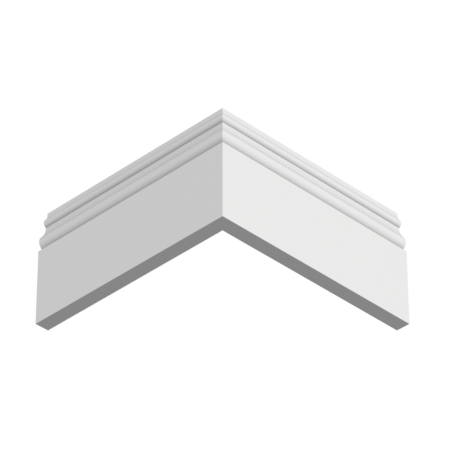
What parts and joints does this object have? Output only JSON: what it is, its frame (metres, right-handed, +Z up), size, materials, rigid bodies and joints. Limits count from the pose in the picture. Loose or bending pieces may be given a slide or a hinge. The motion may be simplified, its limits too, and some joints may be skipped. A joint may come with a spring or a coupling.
{
  "type": "skirting board",
  "caption": "Moulded skirting board mitred round an outside wall corner: a flat plinth with beads and coves above it, far ends cut square. It covers the joint between wall and floor.",
  "frame": {"origin": "on the floor, under the middle of the box round both lengths", "axes": "+X to the right as seen from the room, across the mitre; +Y from the room towards the wall, so the moulded faces look to -Y; +Z up"},
  "size_m": [0.396, 0.2106, 0.15],
  "materials": {
    "moulding": "white primer, matte with a faint sheen"
  },
  "bodies": {
    "root": {"left_length": "moulding", "right_length": "moulding"}
  },
  "joints": []
}
